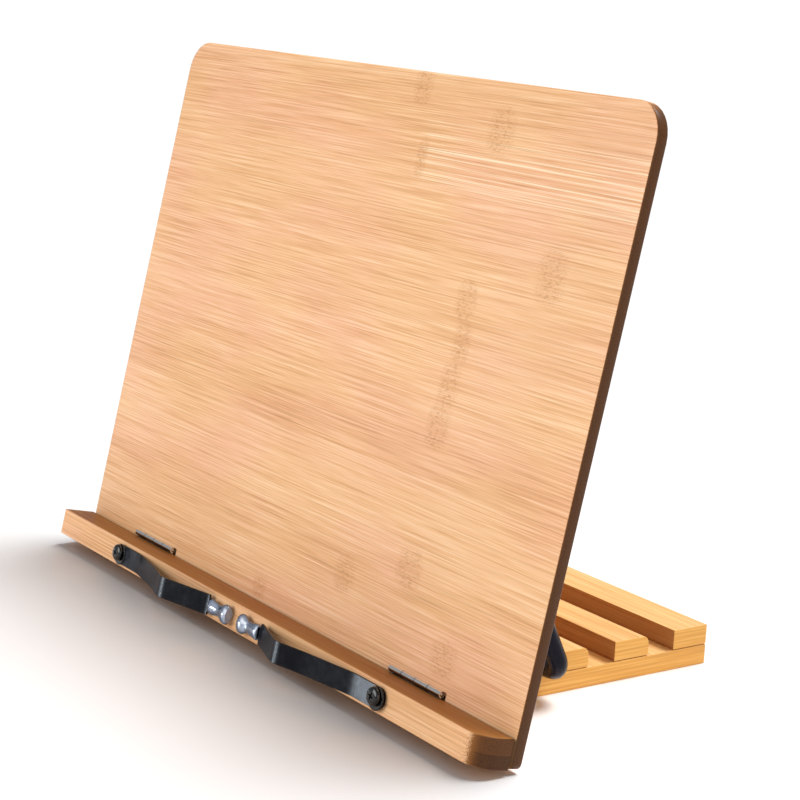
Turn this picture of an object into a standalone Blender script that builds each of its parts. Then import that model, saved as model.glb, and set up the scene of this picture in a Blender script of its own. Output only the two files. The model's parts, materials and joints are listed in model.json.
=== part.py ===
"""Bamboo reading stand for a bible or other heavy book, leaning on a grooved base with a wire leg.

World frame, in metres: X along the width, Y to the back, Z up, origin at the middle of the
base's underside.  The board's own frame has its origin on the axis of the base hinges, with
X along the width, Y square to the board (to the back) and Z up along the board.
"""
from math import atan2, cos, hypot, pi, radians, sin, tan

import bmesh
import bpy
from mathutils import Matrix, Vector

MM = 0.001
GAP = 0.3 * MM  # between pieces that touch

# Reading board
BOARD_WIDTH = 340 * MM
BOARD_HEIGHT = 247 * MM
BOARD_THICKNESS = 5 * MM
BOARD_CORNER = 14 * MM
BOARD_FOOT_CORNER = 2.5 * MM
BOARD_LEAN = radians(12)
EASED_EDGE = 0.7 * MM

# Ledge along the board's foot
LEDGE_HEIGHT = 12 * MM
LEDGE_FRONT = 16.5 * MM  # its front face, measured from the board's face
LEDGE_GAP = 0.9 * MM
LEDGE_CORNER = 10 * MM

# Base: a lower board with slats glued on it, which leave grooves for the leg
BASE_WIDTH = 217 * MM
LAYER = 8.5 * MM
SLAT_COUNT = 3
SLAT_DEPTH = 18.5 * MM
GROOVE_WIDTH = 14 * MM
GROOVE_SLACK = 0.6 * MM  # behind the leg's bar, so that it lifts out
BASE_BEHIND_AXIS = 140.5 * MM
BASE_BEFORE_AXIS = 2.2 * MM
SLAT_ROUND = 3.5 * MM

# Hinges
BASE_BARREL = 2.2 * MM
BASE_PIN = 1.0 * MM
BASE_BARREL_LENGTH = 38 * MM
BASE_HINGE_X = 66 * MM
BASE_LEAF = 1.0 * MM
BASE_LEAF_REACH = 17 * MM
LEDGE_BARREL = 1.4 * MM
LEDGE_PIN = 0.65 * MM
LEDGE_BARREL_LENGTH = 34.6 * MM
LEDGE_HINGE_X = 106.5 * MM
LEDGE_LEAF = 0.6 * MM
LEDGE_LEAF_REACH = 11 * MM
LEDGE_AXIS_UP = 1.7 * MM  # above the ledge's top
LEDGE_AXIS_OUT = 1.1 * MM  # in front of the board's face
BORE_SLACK = 0.1 * MM
PIN_DOME = 0.4  # of the pin's radius
KNUCKLES = 4
POCKET_MARGIN = 1.2 * MM
POCKET_TOP = 1.12 * MM  # above the ledge hinge axis, where the barrel clears the board's face

# Wood screws
SCREW_SHANK = 0.8 * MM
SCREW_LENGTH = 3.6 * MM
SCREW_HEAD = 1.9 * MM
SCREW_HEAD_RISE = 0.5 * MM
SCREW_POINT = 0.4  # the flat of the point, of the shank's radius
SUNK_HEAD = 1.5 * MM
SUNK_DEPTH = 0.9 * MM
LEAF_SCREW_SPREAD = 12 * MM
LEAF_SCREW_OUT = 0.62  # of the leaf's reach

# Page clips
CLIP_PIVOT_X = 106.3 * MM
CLIP_WIDTH = 9 * MM
CLIP_TONGUE_WIDTH = 4.4 * MM
CLIP_THICKNESS = 0.9 * MM
CLIP_FLAT = 17 * MM  # distances along the ledge, from the pivot
CLIP_KNEE = 44 * MM
CLIP_APEX = 58 * MM
CLIP_LANDING = 84 * MM
CLIP_NECK = 84.5 * MM
CLIP_TIP = 91 * MM
CLIP_BULGE = 12.5 * MM  # heights over the ledge's face
CLIP_KNEE_RISE = 7.4 * MM
CLIP_TIP_RISE = 2.6 * MM
CLIP_CURVES = (26 * MM, 60 * MM, 9 * MM, 9 * MM)  # at the flat's end, knee, apex and landing
CLIP_SCREW_HEAD = 3.8 * MM
CLIP_SCREW_RISE = 2.0 * MM
CLIP_WASHER = 4.9 * MM
CLIP_WASHER_THICKNESS = 0.7 * MM
CLIP_WASHER_EDGE = 0.3 * MM
CLIP_SHANK = 1.7 * MM
CLIP_SHANK_LENGTH = 9 * MM
CAP_START = 86 * MM
CAP_END = 101.6 * MM
CAP_FLATNESS = 0.55
CAP_RADII = (3.2 * MM, 3.5 * MM, 3.0 * MM, 2.6 * MM, 3.3 * MM, 4.3 * MM, 4.2 * MM, 3.0 * MM)
CAP_STATIONS = (0.0, 0.10, 0.36, 0.52, 0.66, 0.78, 0.90, 1.0)  # of the cap's length

# Wire leg
ROD = 4 * MM
LEG_HALF_WIDTH = 120.5 * MM
LEG_BEND = 9 * MM
LEG_ELBOW = 6 * MM
LEG_PIVOT_UP = 66.5 * MM  # along the board, above the base hinge axis
LEG_PIVOT_BACK = 2.6 * MM  # behind the base hinge axis, square to the board
LEG_STUB = 17 * MM
SADDLE_WIDTH = 9 * MM
SADDLE_STRAP = 1.1 * MM
SADDLE_SLACK = 0.35 * MM
SADDLE_FOOT = 8 * MM
SADDLE_CLEAR = 1 * MM

# Facets, and the angles that tell an edge from a curve
ROUND_STEPS = 16
WASHER_STEPS = 20
SCREW_STEPS = 12
HOLE_STEPS = 10
BEND_STEPS = 8
CORNER_STEPS = 8
QUARTER_STEPS = 3
SMOOTH_ANGLE = radians(35)
EASE_ANGLE = radians(50)

# Finishes: colour, roughness and how metallic
FINISHES = {
    "bamboo": ((0.74, 0.50, 0.26), 0.5, 0.0),
    "base_bamboo": ((0.80, 0.55, 0.26), 0.5, 0.0),
    "polished_steel": ((0.72, 0.70, 0.68), 0.22, 1.0),
    "black_steel": ((0.02, 0.02, 0.024), 0.35, 0.6),
    "black_rod": ((0.012, 0.014, 0.03), 0.2, 0.4),
    "clear_silicone": ((0.75, 0.78, 0.82), 0.15, 0.0),
}

# Places worked out from the sizes above
BASE_DEPTH = BASE_BEHIND_AXIS + BASE_BEFORE_AXIS
BASE_THICKNESS = 2 * LAYER + GAP
AXIS_Y = BASE_BEFORE_AXIS - BASE_DEPTH / 2
AXIS_Z = BASE_THICKNESS + GAP + BASE_BARREL
BOARD_BACK = -(BASE_BARREL + GAP)
BOARD_FACE = BOARD_BACK - BOARD_THICKNESS
BOARD_FOOT = GAP - AXIS_Z
BOARD_TOP = BOARD_FOOT + BOARD_HEIGHT
LEDGE_TOP = BOARD_FOOT + LEDGE_HEIGHT
LEDGE_AXIS_Y = BOARD_FACE - LEDGE_AXIS_OUT
LEDGE_AXIS_Z = LEDGE_TOP + LEDGE_AXIS_UP
LEDGE_FACE = BOARD_FACE - LEDGE_FRONT
LEDGE_BACK = BOARD_FACE - LEDGE_GAP
PITCH = SLAT_DEPTH + GROOVE_WIDTH


def clear_scene():
    for thing in list(bpy.data.objects):
        bpy.data.objects.remove(thing, do_unlink=True)


def material(name):
    colour, roughness, metallic = FINISHES[name]
    made = bpy.data.materials.new(name)
    made.use_nodes = True
    shader = made.node_tree.nodes["Principled BSDF"]
    shader.inputs["Base Color"].default_value = (*colour, 1.0)
    shader.inputs["Roughness"].default_value = roughness
    shader.inputs["Metallic"].default_value = metallic
    return made


def axis_empty(name, place, parent=None, turn=0.0):
    empty = bpy.data.objects.new(name, None)
    bpy.context.collection.objects.link(empty)
    empty.location = place
    empty.rotation_euler = (turn, 0, 0)
    empty.parent = parent
    return empty


def add_object(name, mesh, finish=None, parent=None, smooth=True):
    made = bpy.data.objects.new(name, mesh)
    bpy.context.collection.objects.link(made)
    made.parent = parent
    if finish:
        made.data.materials.clear()
        made.data.materials.append(finish)
    if smooth:
        mesh.shade_smooth()
        mesh.set_sharp_from_angle(angle=SMOOTH_ANGLE)
    return made


def mesh_from(bm, name):
    bmesh.ops.recalc_face_normals(bm, faces=bm.faces)
    mesh = bpy.data.meshes.new(name)
    bm.to_mesh(mesh)
    bm.free()
    return mesh


def prism_mesh(name, outline, start, along):
    """A closed prism: the outline's 3-D points at start, swept along a vector."""
    bm = bmesh.new()
    ring = [bm.verts.new(Vector(start) + Vector(point)) for point in outline]
    face = bm.faces.new(ring)
    swept = bmesh.ops.extrude_face_region(bm, geom=[face])
    moved = [item for item in swept["geom"] if isinstance(item, bmesh.types.BMVert)]
    bmesh.ops.translate(bm, verts=moved, vec=along)
    return mesh_from(bm, name)


def box_mesh(name, low, high):
    outline = [(low[0], low[1], 0), (high[0], low[1], 0), (high[0], high[1], 0), (low[0], high[1], 0)]
    return prism_mesh(name, outline, (0, 0, low[2]), (0, 0, high[2] - low[2]))


def turned_mesh(name, profile, axis="Y", steps=ROUND_STEPS):
    """A solid of revolution from (radius, distance along the axis) pairs that start and end on it."""
    bm = bmesh.new()
    rings = []
    for radius, distance in profile:
        if radius == 0:
            rings.append([bm.verts.new((0, 0, distance))])
            continue
        angles = [2 * pi * (step + 0.5) / steps for step in range(steps)]
        rings.append([bm.verts.new((radius * cos(a), radius * sin(a), distance)) for a in angles])
    for first, second in zip(rings, rings[1:]):
        for step in range(steps):
            following = (step + 1) % steps
            corners = [first[step % len(first)], first[following % len(first)]]
            corners += [second[following % len(second)], second[step % len(second)]]
            unique = list(dict.fromkeys(corners))
            bm.faces.new(unique)
    turns = {"X": Matrix.Rotation(pi / 2, 4, "Y"), "Y": Matrix.Rotation(-pi / 2, 4, "X"), "Z": Matrix()}
    bm.transform(turns[axis])
    return mesh_from(bm, name)


def hide_cutter(cutter):
    cutter.hide_render = True
    cutter.display_type = "WIRE"


def combine(target, other, operation):
    modifier = target.modifiers.new(other.name, "BOOLEAN")
    modifier.operation = operation
    modifier.object = other
    modifier.solver = "EXACT"
    hide_cutter(other)


def ease_edges(target, width=EASED_EDGE, segments=2):
    bevel = target.modifiers.new("Eased edges", "BEVEL")
    bevel.width = width
    bevel.segments = segments
    bevel.limit_method = "ANGLE"
    bevel.angle_limit = EASE_ANGLE


def drill(target, name, place, direction, radius, depth, parent):
    """A round hole from a surface point, running depth along +Y or -Y, or -Z."""
    profile = [(0, -GAP), (radius, -GAP), (radius, depth), (0, depth)]
    axis = "Z" if direction == "-Z" else "Y"
    cutter = add_object(name, turned_mesh(name, profile, axis, HOLE_STEPS), parent=parent, smooth=False)
    if direction.startswith("-"):
        cutter.data.transform(Matrix.Rotation(pi, 4, "X"))
    cutter.data.transform(Matrix.Translation(place))
    combine(target, cutter, "DIFFERENCE")


def arc(centre, radius, start, end, steps):
    """Points on an arc in a plane, as (first, second) pairs."""
    turns = [start + (end - start) * step / steps for step in range(steps + 1)]
    return [(centre[0] + radius * cos(turn), centre[1] + radius * sin(turn)) for turn in turns]


# ---------------------------------------------------------------- screws

def screw_mesh(name, head, rise, shank, length):
    """A domed screw along Y: its head's underside at 0, the shank to +length."""
    profile = [(0, length), (shank * SCREW_POINT, length), (shank, length - shank), (shank, 0)]
    turns = [pi / 2 * step / QUARTER_STEPS for step in range(QUARTER_STEPS)]
    profile += [(head * cos(turn), -rise * sin(turn)) for turn in turns] + [(0, -rise)]
    return turned_mesh(name, profile, "Y", SCREW_STEPS)


def place_screw(name, place, direction, finish, parent, head=SCREW_HEAD, rise=SCREW_HEAD_RISE,
                shank=SCREW_SHANK, length=SCREW_LENGTH):
    mesh = screw_mesh(name, head, rise, shank, length)
    turns = {"Y": Matrix(), "-Y": Matrix.Rotation(pi, 4, "X"), "-Z": Matrix.Rotation(-pi / 2, 4, "X")}
    mesh.transform(turns[direction])
    mesh.transform(Matrix.Translation(place))
    return add_object(name, mesh, finish, parent)


# ---------------------------------------------------------------- board and ledge

def board_outline():
    half = BOARD_WIDTH / 2
    top = BOARD_CORNER
    foot = BOARD_FOOT_CORNER
    outline = arc((half - foot, BOARD_FOOT + foot), foot, -pi / 2, 0, QUARTER_STEPS)
    outline += arc((half - top, BOARD_TOP - top), top, 0, pi / 2, CORNER_STEPS)
    outline += arc((-half + top, BOARD_TOP - top), top, pi / 2, pi, CORNER_STEPS)
    outline += arc((-half + foot, BOARD_FOOT + foot), foot, pi, 3 * pi / 2, QUARTER_STEPS)
    return [(x, 0, z) for x, z in outline]


def make_board(finish, frame):
    mesh = prism_mesh("reading_board", board_outline(), (0, BOARD_FACE, 0), (0, BOARD_THICKNESS, 0))
    board = add_object("reading_board", mesh, finish, frame)
    ease_edges(board)
    for side in (-1, 1):
        middle = side * LEDGE_HINGE_X
        reach = LEDGE_BARREL_LENGTH / 2 + POCKET_MARGIN
        low = (middle - reach, BOARD_FACE - GAP, LEDGE_AXIS_Z - LEDGE_LEAF_REACH - POCKET_MARGIN)
        high = (middle + reach, BOARD_FACE + LEDGE_LEAF, LEDGE_AXIS_Z + POCKET_TOP)
        pocket = add_object(f"board_pocket{side}", box_mesh("pocket", low, high), None, frame, False)
        combine(board, pocket, "DIFFERENCE")
    return board


def make_ledge(finish, axis):
    """The ledge bar, in the ledge hinge axis's frame.  Only its right front corner is rounded."""
    half = BOARD_WIDTH / 2
    front = LEDGE_FACE - LEDGE_AXIS_Y
    back = LEDGE_BACK - LEDGE_AXIS_Y
    foot = -LEDGE_HEIGHT - LEDGE_AXIS_UP
    outline = [(half, back), (-half, back), (-half, front)]
    outline += arc((half - LEDGE_CORNER, front + LEDGE_CORNER), LEDGE_CORNER, -pi / 2, 0, CORNER_STEPS)
    outline = [(x, y, 0) for x, y in outline]
    mesh = prism_mesh("ledge_bar", outline, (0, 0, foot), (0, 0, LEDGE_HEIGHT))
    ledge = add_object("ledge_bar", mesh, finish, axis)
    ease_edges(ledge, EASED_EDGE / 2, 1)
    for side in (-1, 1):
        middle = side * LEDGE_HINGE_X
        reach = LEDGE_BARREL_LENGTH / 2 + POCKET_MARGIN
        low = (middle - reach, back - LEDGE_LEAF, -LEDGE_LEAF_REACH - POCKET_MARGIN)
        high = (middle + reach, back + GAP, -LEDGE_AXIS_UP + GAP)
        pocket = add_object(f"ledge_pocket{side}", box_mesh("pocket", low, high), None, axis, False)
        combine(ledge, pocket, "DIFFERENCE")
    return ledge


# ---------------------------------------------------------------- hinges

def leaf_outline(length, barrel, root, reach, owned):
    """A leaf seen square on, as (along the axis, away from it).  It starts on its own knuckles and
    stays clear of the other leaf's."""
    space = GAP / 2
    step = length / KNUCKLES
    start = -length / 2
    points = [(start, reach)]
    for index in range(KNUCKLES):
        left = start + index * step
        right = left + step
        if index in owned:
            points += [(left + space, root), (right - space, root)]
        else:
            points += [(left - space, barrel + GAP), (right + space, barrel + GAP)]
    points.append((-start, reach))
    points = [(min(max(x, start), -start), away) for x, away in points]
    return [point for point, before in zip(points, [None] + points) if point != before]


def hinge_leaf(name, finish, parent, centre, barrel, bore, length, leaf, towards, owned):
    """One leaf with its knuckles.  centre is the axis's middle; leaf is (plane low, plane high,
    root, reach): the plane's span square to the leaf, where it starts on its own knuckles, and how
    far it reaches from the axis.  towards is the direction that the leaf takes: "up", "down" or
    "back".  owned lists the knuckles that belong to it."""
    low, high, root, reach = leaf
    outline = [(x, 0, away) for x, away in leaf_outline(length, barrel, root, reach, owned)]
    mesh = prism_mesh(name, outline, (0, low, 0), (0, high - low, 0))
    turns = {"up": Matrix(), "down": Matrix.Scale(-1, 4, (0, 0, 1)),
             "back": Matrix(((1, 0, 0, 0), (0, 0, 1, 0), (0, 1, 0, 0), (0, 0, 0, 1)))}
    mesh.transform(turns[towards])
    if towards != "up":
        mesh.flip_normals()
    mesh.transform(Matrix.Translation(centre))
    made = add_object(name, mesh, finish, parent)
    for index in owned:
        add_knuckle(made, index, parent, centre, barrel, length)
    tunnel = turned_mesh("bore", [(0, -length), (bore, -length), (bore, length), (0, length)], "X")
    tunnel.transform(Matrix.Translation(centre))
    combine(made, add_object(f"{name}_bore", tunnel, None, parent, False), "DIFFERENCE")
    return made


def add_knuckle(leaf, index, parent, centre, barrel, length):
    step = length / KNUCKLES
    middle = (index + 0.5) * step - length / 2
    half = (step - GAP) / 2
    tube = turned_mesh("knuckle", [(0, -half), (barrel, -half), (barrel, half), (0, half)], "X")
    tube.transform(Matrix.Translation(Vector(centre) + Vector((middle, 0, 0))))
    combine(leaf, add_object(f"{leaf.name}_knuckle{index}", tube, None, parent, False), "UNION")


def hinge_pin(name, finish, parent, centre, radius, length):
    half = length / 2
    dome = radius * PIN_DOME
    profile = [(0, -half), (radius - dome, -half), (radius, -half + dome)]
    profile += [(radius, half - dome), (radius - dome, half), (0, half)]
    mesh = turned_mesh(name, profile, "X")
    mesh.transform(Matrix.Translation(centre))
    return add_object(name, mesh, finish, parent)


def screw_through_leaf(name, leaf, wood, place, direction, finish, parent):
    """A screw whose head rests on the leaf, with a hole for it in the leaf and in the wood."""
    thickness = BASE_LEAF + 2 * GAP
    drill(leaf, f"{name}_leaf_hole", place, direction, SCREW_SHANK + GAP, thickness, parent)
    drill(wood, f"{name}_wood_hole", place, direction, SCREW_SHANK + GAP, SCREW_LENGTH + GAP, parent)
    place_screw(name, place, direction, finish, parent)


def sunk_screw(name, leaf, wood, place, direction, finish, parent):
    """A countersunk screw, flush with the leaf that it goes through."""
    drill(leaf, f"{name}_leaf_hole", place, direction, SUNK_HEAD + GAP, LEDGE_LEAF + GAP, parent)
    drill(wood, f"{name}_wood_hole", place, direction, SUNK_HEAD, SCREW_LENGTH + GAP, parent)
    tip = SCREW_LENGTH
    profile = [(0, tip), (SCREW_SHANK * SCREW_POINT, tip), (SCREW_SHANK, tip - SCREW_SHANK)]
    profile += [(SCREW_SHANK, SUNK_DEPTH), (SUNK_HEAD, 0), (0, 0)]
    mesh = turned_mesh(name, profile, "Y", SCREW_STEPS)
    if direction == "-Y":
        mesh.transform(Matrix.Rotation(pi, 4, "X"))
    mesh.transform(Matrix.Translation(place))
    add_object(name, mesh, finish, parent)


def make_base_hinges(steel, frame, foot, board, front_slat):
    """Butt hinges in the corner between the board's back and the base's top."""
    tangent = (-BASE_BARREL, -BASE_BARREL + BASE_LEAF, 0.0, BASE_LEAF_REACH)
    for side, word in ((-1, "left"), (1, "right")):
        centre = (side * BASE_HINGE_X, 0, 0)
        bore = BASE_PIN + BORE_SLACK
        up = hinge_leaf(f"base_hinge_board_leaf_{word}", steel, frame, centre, BASE_BARREL, bore,
                        BASE_BARREL_LENGTH, tangent, "up", (0, 2))
        back = hinge_leaf(f"base_hinge_base_leaf_{word}", steel, foot, centre, BASE_BARREL, bore,
                          BASE_BARREL_LENGTH, tangent, "back", (1, 3))
        hinge_pin(f"base_hinge_pin_{word}", steel, foot, centre, BASE_PIN, BASE_BARREL_LENGTH + BASE_PIN)
        out = BASE_LEAF_REACH * LEAF_SCREW_OUT
        for number, across in enumerate((-LEAF_SCREW_SPREAD, LEAF_SCREW_SPREAD), start=1):
            x = centre[0] + across
            face = -BASE_BARREL + BASE_LEAF + GAP
            screw_through_leaf(f"base_hinge_board_screw_{word}_{number}", up, board, (x, face, out), "-Y",
                               steel, frame)
            screw_through_leaf(f"base_hinge_base_screw_{word}_{number}", back, front_slat,
                               (x, out, face), "-Z", steel, foot)


def make_ledge_hinges(steel, frame, axis, board, ledge):
    """Small butt hinges, closed at rest, with leaves let into the board's face and the ledge's back."""
    out = LEDGE_AXIS_OUT
    board_leaf = (out - GAP, out + GAP, 0.0, LEDGE_LEAF_REACH)
    ledge_low = -(LEDGE_GAP + GAP - out)
    ledge_leaf = (ledge_low, ledge_low + LEDGE_LEAF, LEDGE_PIN + 2 * BORE_SLACK, LEDGE_LEAF_REACH)
    bore = LEDGE_PIN + BORE_SLACK
    for side, word in ((-1, "left"), (1, "right")):
        centre = (side * LEDGE_HINGE_X, 0, 0)
        fixed_centre = (centre[0], LEDGE_AXIS_Y, LEDGE_AXIS_Z)
        fixed = hinge_leaf(f"ledge_hinge_board_leaf_{word}", steel, frame, fixed_centre, LEDGE_BARREL,
                           bore, LEDGE_BARREL_LENGTH, board_leaf, "down", (0, 2))
        moving = hinge_leaf(f"ledge_hinge_ledge_leaf_{word}", steel, axis, centre, LEDGE_BARREL,
                            bore, LEDGE_BARREL_LENGTH, ledge_leaf, "down", (1, 3))
        hinge_pin(f"ledge_hinge_pin_{word}", steel, frame, fixed_centre, LEDGE_PIN, LEDGE_BARREL_LENGTH)
        down = LEDGE_LEAF_REACH * LEAF_SCREW_OUT
        for number, across in enumerate((-LEAF_SCREW_SPREAD, LEAF_SCREW_SPREAD), start=1):
            x = centre[0] + across
            face = LEDGE_AXIS_Y + board_leaf[0]
            sunk_screw(f"ledge_hinge_board_screw_{word}_{number}", fixed, board,
                       (x, face, LEDGE_AXIS_Z - down), "Y", steel, frame)
            sunk_screw(f"ledge_hinge_ledge_screw_{word}_{number}", moving, ledge,
                       (x, ledge_leaf[1], -down), "-Y", steel, axis)


# ---------------------------------------------------------------- page clips

def rounded_path(corners, radii):
    """A path through corners in a plane, with each inner corner turned into an arc."""
    path = [corners[0]]
    for before, corner, after, radius in zip(corners, corners[1:], corners[2:], radii):
        come = Vector((before[0] - corner[0], before[1] - corner[1])).normalized()
        leave = Vector((after[0] - corner[0], after[1] - corner[1])).normalized()
        half = come.angle(leave) / 2
        centre = Vector(corner) + (come + leave).normalized() * (radius / sin(half))
        first = Vector(corner) + come * (radius / tan(half)) - centre
        last = Vector(corner) + leave * (radius / tan(half)) - centre
        start = atan2(first.y, first.x)
        turn = (atan2(last.y, last.x) - start + pi) % (2 * pi) - pi
        path += arc(centre, radius, start, start + turn, BEND_STEPS)
    return path + [corners[-1]]


def clip_path():
    """The strip's middle line as (distance from the pivot, height over the ledge's face)."""
    flat = GAP + CLIP_THICKNESS / 2
    corners = [(0, flat), (CLIP_FLAT, flat), (CLIP_KNEE, CLIP_KNEE_RISE), (CLIP_APEX, CLIP_BULGE)]
    corners += [(CLIP_LANDING, CLIP_TIP_RISE), (CLIP_TIP, CLIP_TIP_RISE)]
    return rounded_path(corners, CLIP_CURVES)


def clip_mesh(name, side):
    """A bent strip with a round end about its pivot and a narrow tongue at its tip."""
    half = CLIP_WIDTH / 2
    flat = GAP + CLIP_THICKNESS / 2
    turns = [pi / 2 * (step + 1) / BEND_STEPS for step in range(BEND_STEPS)]
    stations = [(-half * cos(turn), flat, half * sin(turn)) for turn in turns]
    for distance, rise in clip_path()[1:]:
        wide = CLIP_TONGUE_WIDTH if distance > CLIP_NECK else CLIP_WIDTH
        stations.append((distance, rise, wide / 2))
    bm = bmesh.new()
    rings = []
    for index, (distance, rise, reach) in enumerate(stations):
        before = stations[max(index - 1, 0)]
        after = stations[min(index + 1, len(stations) - 1)]
        run, climb = after[0] - before[0], after[1] - before[1]
        across = Vector((-climb, run)) / hypot(run, climb) * CLIP_THICKNESS / 2
        corners = [(1, 1), (1, -1), (-1, -1), (-1, 1)]
        ring = []
        for face, edge in corners:
            x = side * (distance + across.x * face)
            y = -(rise + across.y * face)
            ring.append(bm.verts.new((x, y, reach * edge)))
        rings.append(ring)
    for first, second in zip(rings, rings[1:]):
        for step in range(4):
            following = (step + 1) % 4
            bm.faces.new((first[step], first[following], second[following], second[step]))
    bm.faces.new(rings[0])
    bm.faces.new(rings[-1][::-1])
    return mesh_from(bm, name)


def cap_mesh(name, side):
    """A silicone tip, shaped like a spool, flattened against the page."""
    length = CAP_END - CAP_START
    shape = [(radius, share * length) for radius, share in zip(CAP_RADII, CAP_STATIONS)]
    profile = [(0, 0)] + shape + [(0, length)]
    mesh = turned_mesh(name, profile, "X", ROUND_STEPS)
    flatten = Matrix.Diagonal((side, CAP_FLATNESS, 1, 1))
    mesh.transform(flatten)
    mesh.transform(Matrix.Translation((side * CAP_START, -CLIP_TIP_RISE, 0)))
    if side < 0:
        mesh.flip_normals()
    return mesh


def drill_clip(target, name, place, parent):
    """The hole for a clip's screw, right through from in front of a surface point."""
    start = (place[0], place[1] - CLIP_SHANK, place[2])
    drill(target, name, start, "Y", CLIP_SHANK + GAP, 2 * CLIP_SHANK + GAP, parent)


def make_washer(name, steel, pivot, face):
    edge = CLIP_WASHER_EDGE
    thickness = CLIP_WASHER_THICKNESS
    profile = [(0, 0), (CLIP_WASHER, 0), (CLIP_WASHER, edge - thickness)]
    profile += [(CLIP_WASHER - edge, -thickness), (0, -thickness)]
    mesh = turned_mesh("washer", profile, "Y", WASHER_STEPS)
    mesh.transform(Matrix.Translation((0, face, 0)))
    washer = add_object(name, mesh, steel, pivot)
    drill_clip(washer, f"{name}_hole", (0, face, 0), pivot)


def make_cap(name, silicone, pivot, side):
    """The tip, with a slot that the strip's tongue sits in."""
    cap = add_object(name, cap_mesh("cap", side), silicone, pivot)
    reach = CLIP_TONGUE_WIDTH / 2 + GAP
    depth = CLIP_THICKNESS / 2 + GAP
    ends = sorted((side * (CAP_START - GAP), side * (CLIP_TIP + GAP)))
    low = (ends[0], -CLIP_TIP_RISE - depth, -reach)
    high = (ends[1], -CLIP_TIP_RISE + depth, reach)
    slot = add_object(f"{name}_slot", box_mesh("slot", low, high), None, pivot, False)
    combine(cap, slot, "DIFFERENCE")


def make_clips(steel, silicone, axis, ledge):
    """Both page clips, each on an empty at its pivot on the ledge's front face."""
    pivot_y = LEDGE_FACE - LEDGE_AXIS_Y
    pivot_z = -LEDGE_AXIS_UP - LEDGE_HEIGHT / 2
    face = -(2 * GAP + CLIP_THICKNESS)
    seat = face - CLIP_WASHER_THICKNESS - GAP
    for side, word in ((1, "left"), (-1, "right")):
        place = (-side * CLIP_PIVOT_X, pivot_y, pivot_z)
        pivot = axis_empty(f"clip_axis_{word}", place, axis)
        strip = add_object(f"clip_strip_{word}", clip_mesh("strip", side), steel, pivot)
        drill_clip(strip, f"clip_strip_hole_{word}", (0, 0, 0), pivot)
        make_washer(f"clip_washer_{word}", steel, pivot, face)
        place_screw(f"clip_screw_{word}", (0, seat, 0), "Y", steel, pivot, CLIP_SCREW_HEAD,
                    CLIP_SCREW_RISE, CLIP_SHANK, CLIP_SHANK_LENGTH)
        drill(ledge, f"clip_ledge_hole_{word}", place, "Y", CLIP_SHANK + GAP, CLIP_SHANK_LENGTH, axis)
        make_cap(f"clip_cap_{word}", silicone, pivot, side)


# ---------------------------------------------------------------- base

def slat_outline(front, back, bottom, rounded):
    """A slat's section in the Y-Z plane; a round on its back top edge faces the next groove."""
    top = bottom + LAYER
    if not rounded:
        return [(0, front, bottom), (0, back, bottom), (0, back, top), (0, front, top)]
    curve = arc((back - SLAT_ROUND, top - SLAT_ROUND), SLAT_ROUND, 0, pi / 2, BEND_STEPS)
    return [(0, front, bottom), (0, back, bottom)] + [(0, y, z) for y, z in curve] + [(0, front, top)]


def make_base(finish, foot):
    """The lower board and the slats on it; returns the front slat, which carries the hinges."""
    half = BASE_WIDTH / 2
    bottom = -AXIS_Z
    low = (-half, -BASE_BEFORE_AXIS, bottom)
    high = (half, BASE_BEHIND_AXIS, bottom + LAYER)
    add_object("base_board", box_mesh("base_board", low, high), finish, foot)
    upper = bottom + LAYER + GAP
    for index in range(SLAT_COUNT):
        back = BASE_BEHIND_AXIS - index * PITCH
        outline = slat_outline(back - SLAT_DEPTH, back, upper, index > 0)
        name = f"base_slat_{SLAT_COUNT + 1 - index}"
        mesh = prism_mesh(name, outline, (-half, 0, 0), (BASE_WIDTH, 0, 0))
        add_object(name, mesh, finish, foot)
    back = BASE_BEHIND_AXIS - SLAT_COUNT * PITCH
    outline = slat_outline(-BASE_BEFORE_AXIS, back, upper, True)
    mesh = prism_mesh("base_slat_1", outline, (-half, 0, 0), (BASE_WIDTH, 0, 0))
    return add_object("base_slat_1", mesh, finish, foot)


# ---------------------------------------------------------------- leg

def leg_rest():
    """The bar's place seen from the leg's pivot, in the board's frame: (back, up)."""
    bar_y = BASE_BEHIND_AXIS - SLAT_COUNT * PITCH + GROOVE_WIDTH - GROOVE_SLACK - ROD
    bar_z = -AXIS_Z + LAYER + GAP + ROD
    back = bar_y * cos(BOARD_LEAN) - bar_z * sin(BOARD_LEAN)
    up = bar_y * sin(BOARD_LEAN) + bar_z * cos(BOARD_LEAN)
    return back - LEG_PIVOT_BACK, up - LEG_PIVOT_UP


def leg_route():
    """Half the rod's middle line, from the middle of the bar, in the leg's own plane: (x, reach)."""
    back, up = leg_rest()
    length = hypot(back, up)
    corners = [(0, length), (LEG_HALF_WIDTH, length), (LEG_HALF_WIDTH, 0), (LEG_HALF_WIDTH + LEG_STUB, 0)]
    return rounded_path(corners, [LEG_BEND, LEG_ELBOW])


def make_leg(steel, frame):
    back, up = leg_rest()
    length = hypot(back, up)
    pivot = axis_empty("leg_axis", (0, LEG_PIVOT_BACK, LEG_PIVOT_UP), frame)
    half = leg_route()
    points = [(-x, reach) for x, reach in half[:0:-1]] + half
    curve = bpy.data.curves.new("support_leg", "CURVE")
    curve.dimensions = "3D"
    curve.bevel_depth = ROD
    curve.bevel_resolution = 3
    curve.use_fill_caps = True
    spline = curve.splines.new("POLY")
    spline.points.add(len(points) - 1)
    for point, (x, reach) in zip(spline.points, points):
        point.co = (x, reach * back / length, reach * up / length, 1)
    leg = bpy.data.objects.new("support_leg", curve)
    bpy.context.collection.objects.link(leg)
    leg.parent = pivot
    curve.materials.append(steel)


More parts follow.
